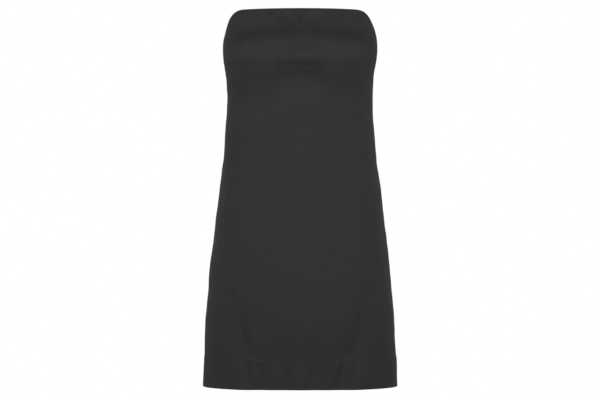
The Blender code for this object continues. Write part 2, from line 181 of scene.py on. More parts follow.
# Slow unevenness of worn cloth: length of the waves in metres, how far they stand out, how many cross each other
unevenness = ((0.110, 0.00055, 9), (0.040, 0.00018, 11))
waves = np.random.default_rng(11)
waveSet = [
    (2.0 * math.pi / length * waves.uniform(0.7, 1.4), waves.uniform(0.0, math.pi), waves.uniform(0.0, 6.3), out)
    for length, out, count in unevenness
    for _ in range(count)
]

# Where two panels meet the cloth draws in a little, and more in some places than in others
seamDraw = {"depth": 0.0006, "halfWidth": 0.0028, "puckerEvery": 0.019, "pucker": 0.0003}

# The stitched top of the turned-up hem shows outside as a faint ridge
hemRidge = {"out": 0.0016, "halfHeight": 0.0017, "plain": 0.25, "bandOut": 0.0016}


def smoothStep(share):
    share = np.clip(share, 0.0, 1.0)
    return share * share * (3.0 - 2.0 * share)


def bell(distance, halfSize):
    return np.exp(-0.5 * (distance / halfSize) ** 2)


def sectionAt(height):
    table = np.array(sorted(form["sections"]))
    known, values = table[:, 0], table[:, 1:]
    slopes = np.gradient(values, known, axis=0)
    height = np.clip(height, known[0], known[-1])
    low = np.clip(np.searchsorted(known, height, side="right") - 1, 0, len(known) - 2)
    gap = (known[low + 1] - known[low])[..., None]
    t = (height - known[low])[..., None] / gap
    return (
        (2 * t**3 - 3 * t**2 + 1) * values[low]
        + (t**3 - 2 * t**2 + t) * gap * slopes[low]
        + (3 * t**2 - 2 * t**3) * values[low + 1]
        + (t**3 - t**2) * gap * slopes[low + 1]
    )


def topHeight(angle):
    share = np.clip((np.abs(angle) - form["levelTo"]) / (90.0 - form["levelTo"]), 0.0, 1.0)
    return form["frontRise"] * (1.0 - smoothStep(share ** form["neckLateness"]))


def hemHeight(angle):
    return -form["hemDrop"] + form["sideDip"] * np.cos(np.radians(angle)) ** 2


def hemLineHeight(angle):
    # the turn-up is a little shallower at the centre front, as shown
    return hemHeight(angle) + 0.048 + 0.009 * smoothStep(np.abs(angle) / 38.0)


def clothPoint(angle, height, fine=True):
    # a point on the outside of the cloth; fine adds the small creases
    section = sectionAt(height)
    turn = np.radians(angle)
    depth = np.where(np.cos(turn) > 0.0, section[..., 1], section[..., 2])
    power = form["squareness"]
    radius = (
        (np.abs(np.sin(turn)) / section[..., 0]) ** power + (np.abs(np.cos(turn)) / depth) ** power
    ) ** (-1.0 / power)
    plain = radius
    for centre, drop, reach, halfHeight, out in levelFolds:
        middle = centre - drop * (np.abs(angle) / reach) ** 2
        fades = 1.0 - smoothStep((np.abs(angle) - 0.75 * reach) / (0.4 * reach))
        radius = radius + out * fades * bell(height - middle, halfHeight)
    bothSides = frontFlutes + tuple((-a, z, -b, *rest) for a, z, b, *rest in frontFlutes) + backFlutes
    for startAngle, top, hemAngle, opens, halfWidth, out in bothSides:
        down = np.clip((top - height) / (top + form["hemDrop"]), 0.0, 1.0)
        middle = startAngle + (hemAngle - startAngle) * down
        radius = radius + out * smoothStep((top - height) / opens) * bell(angle - middle, halfWidth)
    if fine:
        radius = radius + smallCreases(angle, height, plain)
    across = radius * np.sin(turn)
    mounds = bell(across - bust["apart"], bust["halfWidth"]) + bell(across + bust["apart"], bust["halfWidth"])
    halfHeight = np.where(height > bust["height"], bust["halfRise"], bust["halfFall"])
    push = bust["push"] * smoothStep(np.cos(turn) / 0.5) * mounds * bell(height - bust["height"], halfHeight)
    return np.stack([across, -radius * np.cos(turn) - push, height + 0.0 * across], axis=-1)


def smallCreases(angle, height, radius):
    total = np.zeros(np.shape(radius))
    for startAngle, startHeight, endAngle, endHeight, halfWidth, out in creases:
        along = np.array([math.radians(endAngle - startAngle) * 0.13, endHeight - startHeight])
        length = np.linalg.norm(along)
        fromStart = np.stack([np.radians(angle - startAngle) * radius, height - startHeight], axis=-1)
        share = np.clip((fromStart @ along) / length**2, 0.0, 1.0)
        off = np.linalg.norm(fromStart - share[..., None] * along, axis=-1)
        taper = 0.35 + 0.65 * np.sin(np.pi * share) ** 0.7
        total = total + out * taper * bell(off, halfWidth)
    for wave, direction, phase, out in waveSet:
        arc = np.radians(angle) * 0.15
        total = total + out * 0.4 * np.sin(wave * (arc * math.cos(direction) + height * math.sin(direction)) + phase)
    total = total * smoothStep((180.0 - np.abs(angle)) / 6.0)
    for seam in (-90.0, 90.0, 180.0):
        away = np.abs((angle - seam + 180.0) % 360.0 - 180.0)
        off = np.radians(away) * radius
        pucker = 1.0 + seamDraw["pucker"] / seamDraw["depth"] * np.sin(height * 2.0 * math.pi / seamDraw["puckerEvery"])
        total = total - seamDraw["depth"] * pucker * bell(off, seamDraw["halfWidth"])
    above = height - hemLineHeight(angle)
    strongest = bell(np.abs(angle) - 38.0, 8.0) + 0.6 * bell(np.abs(angle) - 146.0, 14.0)
    shows = hemRidge["plain"] + (1.0 - hemRidge["plain"]) * strongest
    total = total + hemRidge["out"] * shows * bell(above, hemRidge["halfHeight"])
    band = smoothStep(0.5 - above / 0.004) * np.clip(1.0 + above / 0.045, 0.0, 1.0)
    return total + hemRidge["bandOut"] * shows * band


def outwardNormal(angle, height, fine=False):
    turn, rise = 0.25, 0.0008
    roundIt = clothPoint(angle + turn, height, fine) - clothPoint(angle - turn, height, fine)
    upIt = clothPoint(angle, height + rise, fine) - clothPoint(angle, height - rise, fine)
    normal = np.cross(roundIt, upIt)
    return normal / np.linalg.norm(normal, axis=-1, keepdims=True)


# Finishes

finishes = {
    "clothDark": (0.0280, 0.0280, 0.0288),
    "clothLight": (0.0350, 0.0350, 0.0358),
    "clothRoughness": 0.82,
    "clothSheen": 0.008,
    "yarnPitch": 0.0006,
    "tapeDark": (0.019, 0.019, 0.020),
    "tapeLight": (0.026, 0.026, 0.027),
    "thread": (0.030, 0.030, 0.031),
    "enamel": (0.020, 0.020, 0.021),
    "enamelWorn": (0.085, 0.083, 0.080),
}


def newGroup(name, inputs, outputs, kind="ShaderNodeTree"):
    group = bpy.data.node_groups.new(name, kind)
    for socketName, socketType, value in inputs:
        socket = group.interface.new_socket(socketName, in_out="INPUT", socket_type=socketType)
        if value is not None:
            socket.default_value = value
    for socketName, socketType in outputs:
        group.interface.new_socket(socketName, in_out="OUTPUT", socket_type=socketType)
    return group, group.nodes.new("NodeGroupInput"), group.nodes.new("NodeGroupOutput")


def math2(tree, operation, first, second=0.0, third=None):
    node = tree.nodes.new("ShaderNodeMath")
    node.operation = operation
    for socket, value in zip(node.inputs, (first, second, third)):
        if isinstance(value, bpy.types.NodeSocket):
            tree.links.new(value, socket)
        elif value is not None:
            socket.default_value = value
    return node.outputs[0]


def yarnGroup():
    # crossing yarns with a diagonal rib: the pattern follows the cloth's own flat coordinates
    group, given, made = newGroup(
        "crossingYarns",
        (
            ("Flat", "NodeSocketVector", None),
            ("Pitch", "NodeSocketFloat", 0.0006),
            ("Rib", "NodeSocketFloat", 0.5),
            ("Slub", "NodeSocketFloat", 0.35),
        ),
        (("Height", "NodeSocketFloat"), ("Tone", "NodeSocketFloat")),
    )
    links, nodes = group.links, group.nodes
    split = nodes.new("ShaderNodeSeparateXYZ")
    links.new(given.outputs["Flat"], split.inputs[0])
    turns = math2(group, "DIVIDE", 2.0 * math.pi, given.outputs["Pitch"])
    across = math2(group, "MULTIPLY", split.outputs[0], turns)
    down = math2(group, "MULTIPLY", split.outputs[1], turns)
    warp = math2(group, "SINE", across)
    weft = math2(group, "SINE", down)
    crossed = math2(group, "MULTIPLY", warp, weft)
    diagonal = math2(group, "SINE", math2(group, "MULTIPLY", math2(group, "ADD", across, down), 0.5))
    ribbed = math2(group, "MULTIPLY_ADD", diagonal, given.outputs["Rib"], crossed)
    slub = nodes.new("ShaderNodeTexNoise")
    slub.inputs["Scale"].default_value = 420.0
    slub.inputs["Detail"].default_value = 2.0
    stretch = nodes.new("ShaderNodeMapping")
    stretch.inputs["Scale"].default_value = (1.0, 0.12, 1.0)
    links.new(given.outputs["Flat"], stretch.inputs["Vector"])
    links.new(stretch.outputs[0], slub.inputs["Vector"])
    uneven = math2(group, "MULTIPLY", math2(group, "SUBTRACT", slub.outputs["Fac"], 0.5), given.outputs["Slub"])
    height = math2(group, "ADD", math2(group, "MULTIPLY_ADD", ribbed, 0.25, 0.5), uneven)
    links.new(height, made.inputs["Height"])
    links.new(math2(group, "MULTIPLY_ADD", uneven, 1.6, 0.5), made.inputs["Tone"])
    return group


def mottleGroup():
    # slow, faint changes of tone, and a fine fuzz
    group, given, made = newGroup(
        "slowMottle",
        (
            ("Place", "NodeSocketVector", None),
            ("Size", "NodeSocketFloat", 9.0),
            ("Fine", "NodeSocketFloat", 260.0),
            ("Strength", "NodeSocketFloat", 0.3),
        ),
        (("Fac", "NodeSocketFloat"),),
    )
    total = 0.5
    for scale, detail, share in ((given.outputs["Size"], 3.0, 0.7), (given.outputs["Fine"], 2.0, 0.3)):
        cloud = group.nodes.new("ShaderNodeTexNoise")
        cloud.inputs["Detail"].default_value = detail
        group.links.new(given.outputs["Place"], cloud.inputs["Vector"])
        group.links.new(scale, cloud.inputs["Scale"])
        centred = math2(group, "SUBTRACT", cloud.outputs["Fac"], 0.5)
        weighed = math2(group, "MULTIPLY", centred, math2(group, "MULTIPLY", given.outputs["Strength"], share))
        total = math2(group, "ADD", total, weighed)
    group.links.new(total, made.inputs["Fac"])
    return group


yarns, mottle = yarnGroup(), mottleGroup()


def newFinish(name, roughness, sheen=0.0, metallic=0.0):
    material = bpy.data.materials.new(name)
    material.use_nodes = True
    shader = material.node_tree.nodes["Principled BSDF"]
    shader.inputs["Roughness"].default_value = roughness
    shader.inputs["Metallic"].default_value = metallic
    shader.inputs["Sheen Weight"].default_value = sheen
    shader.inputs["Sheen Roughness"].default_value = 0.55
    shader.inputs["Specular IOR Level"].default_value = 0.04
    return material, material.node_tree, shader


def placed(tree, group, **values):
    node = tree.nodes.new("ShaderNodeGroup")
    node.node_tree = group
    for key, value in values.items():
        if isinstance(value, bpy.types.NodeSocket):
            tree.links.new(value, node.inputs[key])
        else:
            node.inputs[key].default_value = value
    return node


def blendOf(tree, factor, dark, light):
    mix = tree.nodes.new("ShaderNodeMix")
    mix.data_type = "RGBA"
    tree.links.new(factor, mix.inputs["Factor"])
    for key, value in (("A", dark), ("B", light)):
        socket = next(s for s in mix.inputs if s.name == key and s.type == "RGBA")
        if isinstance(value, bpy.types.NodeSocket):
            tree.links.new(value, socket)
        else:
            socket.default_value = (*value, 1.0)
    return next(s for s in mix.outputs if s.type == "RGBA")


def bumped(tree, shader, height, strength, distance):
    bump = tree.nodes.new("ShaderNodeBump")
    bump.inputs["Strength"].default_value = strength
    bump.inputs["Distance"].default_value = distance
    tree.links.new(height, bump.inputs["Height"])
    tree.links.new(bump.outputs["Normal"], shader.inputs["Normal"])


def wovenFinish(name, dark, light, roughness, sheen, pitch, rib, flatCoordinates=True):
    material, tree, shader = newFinish(name, roughness, sheen)
    coordinates = tree.nodes.new("ShaderNodeTexCoord")
    flat = coordinates.outputs["UV"] if flatCoordinates else coordinates.outputs["Object"]
    if not flatCoordinates:
        # tape lies in the XZ plane, so Z stands in for the length of the cloth
        swap = tree.nodes.new("ShaderNodeMapping")
        swap.inputs["Rotation"].default_value = (math.radians(-90.0), 0.0, 0.0)
        tree.links.new(flat, swap.inputs["Vector"])
        flat = swap.outputs[0]
    weave = placed(tree, yarns, Flat=flat, Pitch=pitch, Rib=rib)
    clouds = placed(tree, mottle, Place=coordinates.outputs["Object"])
    tone = math2(tree, "ADD", clouds.outputs[0], math2(tree, "SUBTRACT", weave.outputs["Tone"], 0.5))
    tree.links.new(blendOf(tree, tone, dark, light), shader.inputs["Base Color"])
    rough = math2(tree, "MULTIPLY_ADD", weave.outputs["Height"], -0.10, roughness + 0.05)
    tree.links.new(rough, shader.inputs["Roughness"])
    bumped(tree, shader, weave.outputs["Height"], 0.5, 0.00007)
    return material


def enamelFinish():
    material, tree, shader = newFinish("satinEnamel", 0.38, metallic=0.55)
    coordinates = tree.nodes.new("ShaderNodeTexCoord")
    edges = tree.nodes.new("ShaderNodeAttribute")
    edges.attribute_name = "edgeWear"
    clouds = placed(tree, mottle, Place=coordinates.outputs["Object"], Size=900.0, Fine=4200.0, Strength=1.6)
    worn = math2(tree, "MULTIPLY", edges.outputs["Fac"], clouds.outputs[0])
    tree.links.new(blendOf(tree, worn, finishes["enamel"], finishes["enamelWorn"]), shader.inputs["Base Color"])
    rough = math2(tree, "MULTIPLY_ADD", clouds.outputs[0], 0.16, 0.30)
    tree.links.new(rough, shader.inputs["Roughness"])
    bumped(tree, shader, clouds.outputs[0], 0.15, 0.00003)
    return material


def threadFinish(name, colour, roughness):
    material, tree, shader = newFinish(name, roughness, sheen=0.05)
    coordinates = tree.nodes.new("ShaderNodeTexCoord")
    twist = tree.nodes.new("ShaderNodeTexWave")
    twist.inputs["Scale"].default_value = 900.0
    twist.bands_direction = "DIAGONAL"
    tree.links.new(coordinates.outputs["Object"], twist.inputs["Vector"])
    light = tuple(1.35 * c for c in colour)
    tree.links.new(blendOf(tree, twist.outputs["Fac"], colour, light), shader.inputs["Base Color"])
    bumped(tree, shader, twist.outputs["Fac"], 0.3, 0.00004)
    return material


clothFinish = wovenFinish(
    "charcoalCloth", finishes["clothDark"], finishes["clothLight"], finishes["clothRoughness"],
    finishes["clothSheen"], finishes["yarnPitch"], 0.6,
)
tapeFinish = wovenFinish("wovenTape", finishes["tapeDark"], finishes["tapeLight"], 0.85, 0.05, 0.0009, 1.2, False)
sewingThread = threadFinish("sewingThread", finishes["thread"], 0.6)
coilPlastic = threadFinish("coilPlastic", finishes["tapeLight"], 0.45)
satinEnamel = enamelFinish()
print("finishes made")


def addObject(name, mesh, *materials):
    made = bpy.data.objects.new(name, mesh)
    bpy.context.scene.collection.objects.link(made)
    for material in materials:
        mesh.materials.append(material)
    mesh.polygons.foreach_set("use_smooth", [True] * len(mesh.polygons))
    return made


# The cloth panels: one sheet each, turned in at the top, turned up at the hem and folded back at its seams

cloth = {
    "thickness": 0.0005,
    "below": 0.0003,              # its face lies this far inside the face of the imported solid
    "turnRadius": 0.0010,         # of the folds at the top and the hem
    "seamRadius": 0.0003,         # of the folds at the seams
    "seamPressed": 0.00003,       # how far the two edges of a seam press into each other
    "seamAllowance": (0.003, 0.007, 0.012),
    "topTurning": (0.0035, 0.0075, 0.0120),
    "notchHalfWidth": 0.0026,     # the centre back opens this much for the slider's neck
    "notchDepth": 0.0110,
    "foldSteps": 5,
    "rowBands": (                 # to this height, a row every so many metres
        (0.030, 0.0016),
        (-0.090, 0.0025),
        (-0.120, 0.0017),
        (-0.520, 0.0066),
        (-0.625, 0.0034),
        (-0.700, 0.0021),
    ),
}

panels = {
    "front_panel": {"from": -90.0, "to": 90.0, "columns": 172, "flat": (0.566, 0.830), "area": 0.404},
    "back_panel_left": {"from": 90.0, "to": 180.0, "columns": 86, "flat": (0.304, 0.773), "area": 0.204},
    "back_panel_right": {"from": -180.0, "to": -90.0, "columns": 86, "flat": (0.304, 0.773), "area": 0.204},
}


def seamAngle(edge, inward, height):
    # the edge of a panel at this height, kept clear of its seam
    section = sectionAt(height)
    if abs(edge) < 100.0:
        return edge - inward * np.degrees(cloth["seamPressed"] / section[..., 0])
    opened = cloth["notchHalfWidth"] * np.clip(1.0 + height / cloth["notchDepth"], 0.0, 1.0)
    return edge + inward * np.degrees((opened - cloth["seamPressed"]) / section[..., 2])


def rowShares():
    heights = [form["frontRise"]]
    for lowest, step in cloth["rowBands"]:
        lowest = max(lowest, -form["hemDrop"])
        count = max(1, round((heights[-1] - lowest) / step))
        heights += list(np.linspace(heights[-1], lowest, count + 1)[1:])
    heights = np.array(heights)
    return (heights[0] - heights) / (heights[0] - heights[-1])


def panelSurface(panel):
    half, turn, seam = cloth["thickness"] / 2, cloth["turnRadius"], cloth["seamRadius"]
    folds = np.linspace(0.0, math.pi, cloth["foldSteps"] + 2)[1:-1]

    # columns: edge (-1, 0, 1), share across, distance past the fold's start, layer
    columns = [(-1, 0.0, -d, 2 * seam) for d in reversed(cloth["seamAllowance"])]
    columns += [(-1, 0.0, seam * math.sin(a), seam * (1 - math.cos(a))) for a in reversed((*folds, math.pi))]
    columns += [(0, s, 0.0, 0.0) for s in np.linspace(0.0, 1.0, panel["columns"] + 1)]
    columns += [(1, 1.0, seam * math.sin(a), seam * (1 - math.cos(a))) for a in (*folds, math.pi)]
    columns += [(1, 1.0, -d, 2 * seam) for d in cloth["seamAllowance"]]

    # rows: share down, turn of the fold at the top (-) or the hem (+), depth of the turning
    rows = [(0.0, -math.pi, d) for d in reversed(cloth["topTurning"])]
    rows += [(0.0, -a, 0.0) for a in reversed((*folds, math.pi))]
    rows += [(s, 0.0, 0.0) for s in rowShares()]
    rows += [(1.0, a, 0.0) for a in (*folds, math.pi)]
    rows += [(1.0, math.pi, d) for d in np.linspace(0.0, 1.0, 15)[1:]]

    edge, share, past, layer = (np.array(c)[None, :] for c in zip(*columns))
    down, fold, turning = (np.array(r)[:, None] for r in zip(*rows))

    def anglesAt(height):
        first = seamAngle(panel["from"], 1.0, height)
        last = seamAngle(panel["to"], -1.0, height)
        section = sectionAt(height)
        firstRadius = section[..., 0 if abs(panel["from"]) < 100 else 2]
        lastRadius = section[..., 0 if abs(panel["to"]) < 100 else 2]
        first = first + np.degrees((seam + half) / firstRadius)
        last = last - np.degrees((seam + half) / lastRadius)
        angle = first + (last - first) * share
        angle = np.where(edge < 0, first - np.degrees(past / firstRadius), angle)
        return np.where(edge > 0, last + np.degrees(past / lastRadius), angle)

    angle = anglesAt(np.zeros((len(rows), len(columns))))
    for _ in range(4):
        top = topHeight(angle) - half - turn
        hem = hemHeight(angle) + half + turn
        height = top + (hem - top) * down
        bend = (turn - layer) * np.abs(np.sin(fold))
        height = height + np.where(fold < 0, bend - np.where(fold < 0, turning, 0.0), -bend)
        line = hemLineHeight(angle) + 0.003
        height = height + np.where(fold > 0, (line - hem) * turning, 0.0)
        angle = anglesAt(height)
    depth = cloth["below"] + half + turn - (turn - layer) * np.cos(fold)
    surface = clothPoint(angle, height) - outwardNormal(angle, height) * depth[..., None]
    return surface, angle


def clothPanel(name, node, panel):
    surface, angle = panelSurface(panel)
    rows, columns = surface.shape[:2]
    across = np.linalg.norm(np.diff(surface, axis=1), axis=-1)
    across = np.concatenate([np.zeros((rows, 1)), np.cumsum(across, axis=1)], axis=1)
    across -= across[:, columns // 2][:, None]
    down = np.linalg.norm(np.diff(surface, axis=0), axis=-1)
    down = np.concatenate([np.zeros((1, columns)), np.cumsum(down, axis=0)], axis=0)
    flat = np.stack([across, -down], axis=-1).reshape(-1, 2)
    corner = np.arange(rows * columns).reshape(rows, columns)
    faces = np.stack([corner[:-1, :-1], corner[1:, :-1], corner[1:, 1:], corner[:-1, 1:]], axis=-1).reshape(-1, 4)
    mesh = bpy.data.meshes.new(name)
    mesh.from_pydata(surface.reshape(-1, 3).tolist(), [], faces.tolist())
    uv = mesh.uv_layers.new(name="flatCloth")
    order = np.empty(len(mesh.loops), dtype=np.int32)
    mesh.loops.foreach_get("vertex_index", order)
    uv.data.foreach_set("uv", flat[order].ravel())
    piece = addObject(name, mesh, clothFinish)
    wall = piece.modifiers.new("thickness", "SOLIDIFY")
    wall.thickness = cloth["thickness"]
    wall.offset = 0.0
    wall.use_even_offset = True
    area = sum(p.area for p in mesh.polygons)
    print(f"{name}: {rows} rows, {columns} columns, {area:.4f} m2, wide {np.ptp(across):.3f}, long {np.ptp(down):.3f}")
    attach(piece, "dress")
    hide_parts(node)
    return piece


frontCloth = clothPanel("frontPanelCloth", "front_panel", panels["front_panel"])
backLeftCloth = clothPanel("backPanelLeftCloth", "back_panel_left", panels["back_panel_left"])
backRightCloth = clothPanel("backPanelRightCloth", "back_panel_right", panels["back_panel_right"])
for tape in ("zip_tape_left", "zip_tape_right"):
    cadNodes[tape].data.materials.clear()
    cadNodes[tape].data.materials.append(tapeFinish)
print("cloth made")


# Stitches and the zip's coil repeat along paths on the cloth

def repeatTree(name, makeShape, sizes):
    group, given, made = newGroup(
        name,
        (
            ("Path", "NodeSocketGeometry", None),
            ("Every", "NodeSocketFloat", 0.003),
            ("Slant", "NodeSocketFloat", 0.0),
            ("Uneven", "NodeSocketFloat", 0.1),
            ("Seed", "NodeSocketInt", 3),
            ("Finish", "NodeSocketMaterial", None),
            *sizes,
        ),
        (("Geometry", "NodeSocketGeometry"),),
        "GeometryNodeTree",
    )
    nodes, links = group.nodes, group.links
    curve = nodes.new("GeometryNodeMeshToCurve")
    spaced = nodes.new("GeometryNodeResampleCurve")
    spaced.mode = "LENGTH"
    tangent = nodes.new("GeometryNodeInputTangent")
    aligned = nodes.new("FunctionNodeAlignRotationToVector")
    aligned.axis = "Z"
    slanted = nodes.new("FunctionNodeRotateRotation")
    slanted.rotation_space = "LOCAL"
    slantBy = nodes.new("FunctionNodeAxisAngleToRotation")
    slantBy.inputs["Axis"].default_value = (0.0, 1.0, 0.0)
    size = nodes.new("FunctionNodeRandomValue")
    lowest = math2(group, "SUBTRACT", 1.0, given.outputs["Uneven"])
    highest = math2(group, "ADD", 1.0, given.outputs["Uneven"])
    placedAt = nodes.new("GeometryNodeInstanceOnPoints")
    real = nodes.new("GeometryNodeRealizeInstances")
    smooth = nodes.new("GeometryNodeSetShadeSmooth")
    finish = nodes.new("GeometryNodeSetMaterial")
    links.new(given.outputs["Path"], curve.inputs["Mesh"])
    links.new(curve.outputs[0], spaced.inputs["Curve"])
    links.new(given.outputs["Every"], spaced.inputs["Length"])
    links.new(spaced.outputs[0], placedAt.inputs["Points"])
    links.new(makeShape(group, given), placedAt.inputs["Instance"])
    links.new(tangent.outputs[0], aligned.inputs["Vector"])
    links.new(given.outputs["Slant"], slantBy.inputs["Angle"])
    links.new(aligned.outputs[0], slanted.inputs["Rotation"])
    links.new(slantBy.outputs[0], slanted.inputs["Rotate By"])
    links.new(slanted.outputs[0], placedAt.inputs["Rotation"])
    scaleIn = [s for s in size.inputs if s.type == "VALUE"]
    links.new(lowest, scaleIn[0])
    links.new(highest, scaleIn[1])
    links.new(given.outputs["Seed"], size.inputs["Seed"])
    links.new(next(s for s in size.outputs if s.type == "VALUE"), placedAt.inputs["Scale"])
    links.new(placedAt.outputs[0], real.inputs[0])
    links.new(real.outputs[0], smooth.inputs[0])
    links.new(smooth.outputs[0], finish.inputs[0])
    links.new(given.outputs["Finish"], finish.inputs["Material"])
    links.new(finish.outputs[0], made.inputs[0])
    return group


def stitchShape(group, given):
    nodes, links = group.nodes, group.links
    bead = nodes.new("GeometryNodeMeshUVSphere")
    bead.inputs["Segments"].default_value = 6
    bead.inputs["Rings"].default_value = 5
    bead.inputs["Radius"].default_value = 1.0
    drawn = nodes.new("GeometryNodeTransform")
    size = nodes.new("ShaderNodeCombineXYZ")
    for key, socket in (("X", "Thick"), ("Y", "Thick"), ("Z", "Half Length")):
        links.new(given.outputs[socket], size.inputs[key])
    links.new(bead.outputs[0], drawn.inputs["Geometry"])
    links.new(size.outputs[0], drawn.inputs["Scale"])
    return drawn.outputs[0]


def coilShape(group, given):
    # one turn of the plastic coil, flattened, as a closed ring
    nodes, links = group.nodes, group.links
    ring = nodes.new("GeometryNodeCurvePrimitiveCircle")
    ring.inputs["Resolution"].default_value = 9
    strand = nodes.new("GeometryNodeCurvePrimitiveCircle")
    strand.inputs["Resolution"].default_value = 5
    links.new(given.outputs["Half Width"], ring.inputs["Radius"])
    links.new(given.outputs["Strand"], strand.inputs["Radius"])
    solid = nodes.new("GeometryNodeCurveToMesh")
    links.new(ring.outputs[0], solid.inputs["Curve"])
    links.new(strand.outputs[0], solid.inputs["Profile Curve"])
    flattened = nodes.new("GeometryNodeTransform")
    flattened.inputs["Scale"].default_value = (0.72, 1.0, 1.0)
    links.new(solid.outputs[0], flattened.inputs["Geometry"])
    return flattened.outputs[0]


stitchRun = repeatTree(
    "stitchRun", stitchShape, (("Half Length", "NodeSocketFloat", 0.0012), ("Thick", "NodeSocketFloat", 0.00016))
)
coilRun = repeatTree(
    "coilRun", coilShape, (("Half Width", "NodeSocketFloat", 0.0012), ("Strand", "NodeSocketFloat", 0.0003))
)


def alongPath(name, points, tree, finish, **values):
    path = bpy.data.meshes.new(name + "Path")
    edges = [(i, i + 1) for i in range(len(points) - 1)]
    path.from_pydata([tuple(p) for p in points], edges, [])
    maker = addObject(name + "Path", path)
    run = maker.modifiers.new(name, "NODES")
    run.node_group = tree
    sockets = {s.name: s.identifier for s in tree.interface.items_tree if s.in_out == "INPUT"}
    for key, value in dict(values, Finish=finish).items():
        run[sockets[key]] = value
    seen = maker.evaluated_get(bpy.context.evaluated_depsgraph_get())
    mesh = bpy.data.meshes.new_from_object(seen)
    bpy.data.objects.remove(maker)
    bpy.data.meshes.remove(path)
    mesh.name = name
    made = bpy.data.objects.new(name, mesh)
    bpy.context.scene.collection.objects.link(made)
    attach(made, "dress")
    return made


stitches = {
    "hem": {"Every": 0.0085, "Half Length": 0.0011, "Thick": 0.00016, "Slant": 0.35, "Uneven": 0.12, "Seed": 4},
    "hemInside": {"Every": 0.0085, "Half Length": 0.0042, "Thick": 0.00020, "Slant": 0.6, "Uneven": 0.10, "Seed": 5},
    "topInside": {"Every": 0.0028, "Half Length": 0.0012, "Thick": 0.00020, "Slant": 0.0, "Uneven": 0.06, "Seed": 6},
    "tape": {"Every": 0.0026, "Half Length": 0.0011, "Thick": 0.00018, "Slant": 0.0, "Uneven": 0.06, "Seed": 7},
}


def onCloth(angles, heights, depth):
    angles, heights = np.broadcast_arrays(np.asarray(angles, float), np.asarray(heights, float))
    return clothPoint(angles, heights) - outwardNormal(angles, heights) * depth


around = np.linspace(-179.3, 179.3, 500)
innerFace = cloth["below"] + cloth["thickness"] + 2 * cloth["turnRadius"]
hemPricks = alongPath(
    "hemStitches", onCloth(around, hemLineHeight(around), cloth["below"] - 0.00002),
    stitchRun, sewingThread, **stitches["hem"],
)
hemCatches = alongPath(
    "hemCatchStitches", onCloth(around, hemLineHeight(around) + 0.0022, innerFace + 0.0001),
    stitchRun, sewingThread, **stitches["hemInside"],
)
nearTop = np.linspace(-178.0, 178.0, 500)
topRow = alongPath(
    "topTurningStitches", onCloth(nearTop, topHeight(nearTop) - 0.0090, innerFace + 0.00005),
    stitchRun, sewingThread, **stitches["topInside"],
)

zipper = {
    "length": 0.352,
    "tapeLiesAt": 0.0017,         # below the cloth's packed face, and deeper in the doubled top
    "tapeLiesAtTop": 0.0029,
    "tape": 0.0008,
    "topTurning": 0.012,
    "coilPitch": 0.0013,
    "coilHalfWidth": 0.00125,
    "coilStrand": 0.00028,
    "coilApart": 0.00085,
}


def zipPath(side, across, extra):
    heights = np.linspace(-0.0125, -zipper["length"] + 0.006, 150)
    angles = side * (180.0 - np.degrees(across / sectionAt(heights)[..., 2]))
    lies = zipper["tapeLiesAt"] + zipper["tape"] + extra
    lies = lies + (zipper["tapeLiesAtTop"] - zipper["tapeLiesAt"]) * smoothStep((heights + 0.0165) / 0.003)
    plain = clothPoint(angles, heights, False)
    return plain - outwardNormal(angles, heights) * lies[:, None]


for word, side in (("Left", 1), ("Right", -1)):
    coil = alongPath(
        f"zipCoil{word}", zipPath(side, zipper["coilApart"], 0.0009), coilRun, coilPlastic,
        **{"Every": zipper["coilPitch"], "Half Width": zipper["coilHalfWidth"], "Strand": zipper["coilStrand"]},
        Slant=side * 0.35, Uneven=0.02, Seed=8,
    )
    seam = alongPath(f"zipTapeStitches{word}", zipPath(side, 0.0046, 0.00005), stitchRun, sewingThread, **stitches["tape"])
print("stitches and coil made")


# Slider and pull tab, with the rounded edges of cast metal

sliderLow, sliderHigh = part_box("zip_slider")
tabLow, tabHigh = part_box("zip_pull_tab")
barHeight = -0.0034
barDepth = 0.10134

metal = {
    "bodyWidth": 0.0080,
    "bodyHeight": 0.0100,
    "bodyDepth": 0.0026,
    "neckWidth": 0.0014,
    "plateWidth": 0.0060,
    "plateHeight": 0.0068,
    "plateDepth": 0.0008,
    "cheekRadius": 0.0014,
    "cheekWidth": 0.0008,
    "cheekApart": 0.0018,
    "barRadius": 0.00045,
    "barStandOff": 0.0015,
    "bevel": 0.00025,
    "tabLength": 0.0240,
    "tabWidth": 0.0058,
    "tabThickness": 0.0010,
    "tabShankWidth": 0.0022,
    "tabShankLength": 0.0030,
    "eyeRadius": 0.0011,
    "eyeBore": 0.0006,
}


def prism(mesh, outline, low, high, axis="Y"):
    # a plate with this outline between two depths
    def at(across, up, out):
        return (across, out, up) if axis == "Y" else (out, across, up)
    near = [mesh.verts.new(at(a, b, low)) for a, b in outline]
    far = [mesh.verts.new(at(a, b, high)) for a, b in outline]
    count = len(outline)
    mesh.faces.new(near)
    mesh.faces.new(reversed(far))
    for i in range(count):
        mesh.faces.new((near[i], far[i], far[(i + 1) % count], near[(i + 1) % count]))


def roundedBox(halfWidth, halfHeight, corner, middle=(0.0, 0.0), steps=5):
    outline = []
    for quarter, (sx, sy) in enumerate(((1, 1), (-1, 1), (-1, -1), (1, -1))):
        for step in range(steps + 1):
            turn = math.pi / 2 * (quarter + step / steps)
            outline.append((
                middle[0] + sx * (halfWidth - corner) + corner * math.cos(turn),
                middle[1] + sy * (halfHeight - corner) + corner * math.sin(turn),
            ))
    return outline


